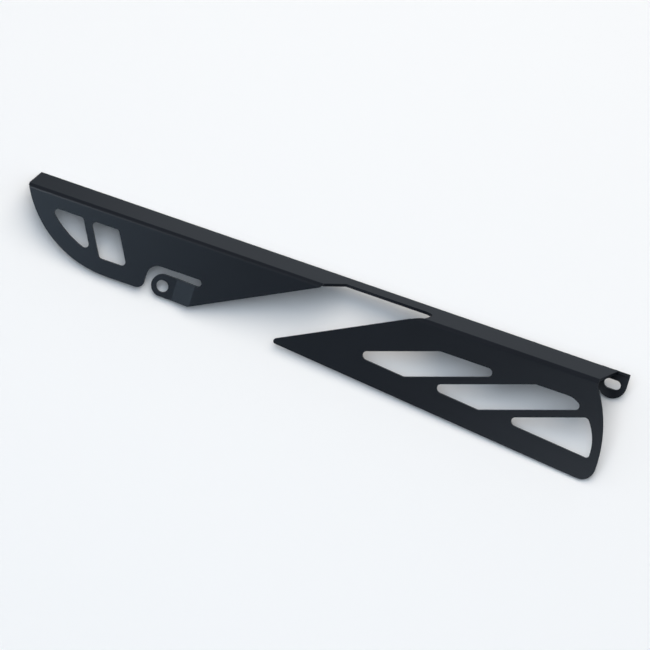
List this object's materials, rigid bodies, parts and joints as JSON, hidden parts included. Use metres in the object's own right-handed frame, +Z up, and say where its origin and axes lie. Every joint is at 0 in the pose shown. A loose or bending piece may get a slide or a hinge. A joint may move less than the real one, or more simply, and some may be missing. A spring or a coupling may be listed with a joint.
{
  "type": "motorcycle chain guard",
  "caption": "Folded sheet-metal chain guard with slanted cut-outs, a notch through the top flange, a joggled front bolt tab and a slotted rear tab.",
  "frame": {"origin": "on the axis of the front bolt hole, at the inboard face of the front tab, where it seats", "axes": "+X runs back along the guard towards the rear wheel, +Y inboard from the side plate, +Z up, square to the top flange"},
  "size_m": [0.4204, 0.0385, 0.0693],
  "materials": {
    "coated_sheet": "satin black powder coat, fine grain"
  },
  "bodies": {
    "root": {"chain_guard": "coated_sheet"}
  },
  "joints": []
}
